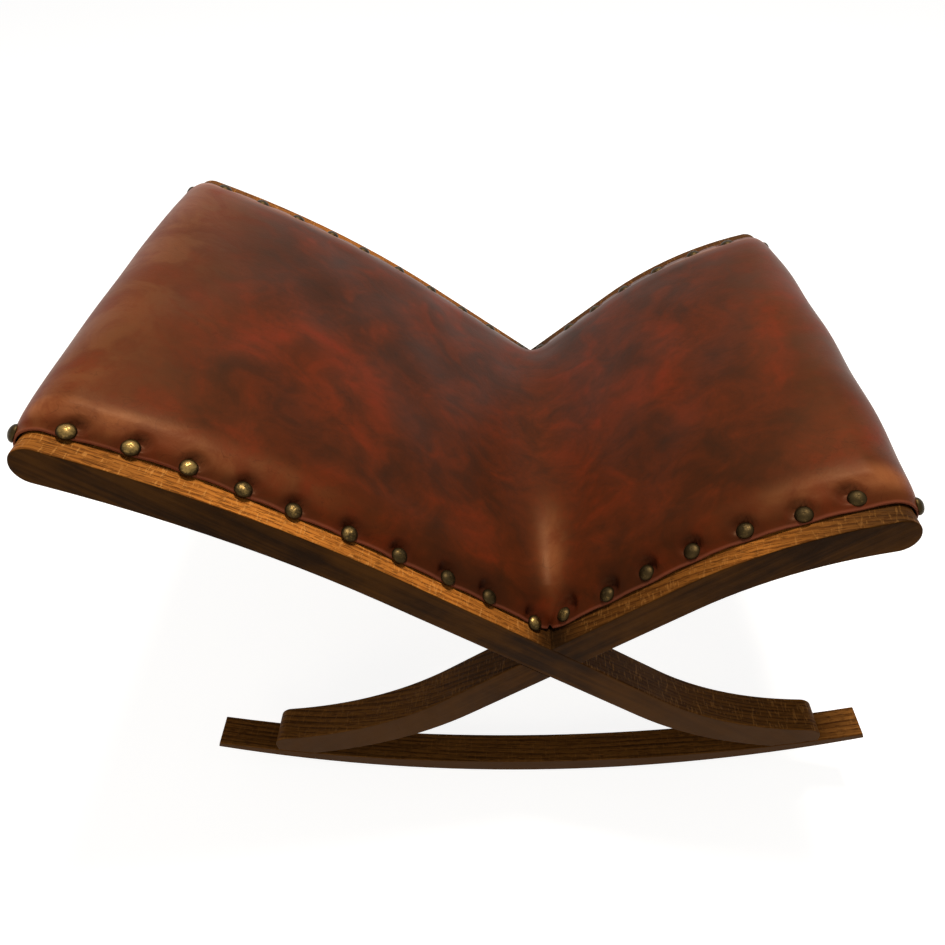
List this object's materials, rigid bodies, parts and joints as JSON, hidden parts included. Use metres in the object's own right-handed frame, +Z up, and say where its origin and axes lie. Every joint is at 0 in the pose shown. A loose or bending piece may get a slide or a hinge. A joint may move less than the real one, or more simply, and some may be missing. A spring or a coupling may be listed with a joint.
{
  "type": "rocking footstool",
  "caption": "Rocking footstool: crossed wooden frames on curved rockers carry a V-shaped padded leather seat with domed nails.",
  "frame": {"origin": "on the floor, under the middle of the overall length and width, as the stool stands at rest", "axes": "+X towards the short arm, +Y from the front frame to the back frame, +Z up"},
  "size_m": [0.5623, 0.375, 0.3704],
  "materials": {
    "stained_wood": "dark brown stain, waxed, worn to orange-brown on top edges",
    "plain_wood": "raw hardwood",
    "leather": "mottled oxblood, smooth and waxed",
    "stuffing": "hair and cotton stuffing",
    "hessian": "plain weave hessian",
    "jute_webbing": "woven jute",
    "brass_nails": "antique brass",
    "steel_fixings": "dull steel"
  },
  "bodies": {
    "root": {"back_long_member": "stained_wood", "back_rocker": "stained_wood", "back_rocker_screws": "steel_fixings", "back_seat_nails": "brass_nails", "back_short_member": "stained_wood", "canvas": "hessian", "centre_rail": "plain_wood", "front_long_member": "stained_wood", "front_rocker": "stained_wood", "front_rocker_screws": "steel_fixings", "front_seat_nails": "brass_nails", "front_short_member": "stained_wood", "leather_cover": "leather", "long_cross_webbing": "jute_webbing", "long_end_rail": "plain_wood", "long_run_webbing": "jute_webbing", "run_webbing_tacks": "steel_fixings", "short_cross_webbing": "jute_webbing", "short_end_rail": "plain_wood", "short_run_webbing": "jute_webbing", "stuffing": "stuffing", "tip_nails": "brass_nails", "under_tacks": "steel_fixings", "webbing_tacks": "steel_fixings"}
  },
  "joints": []
}
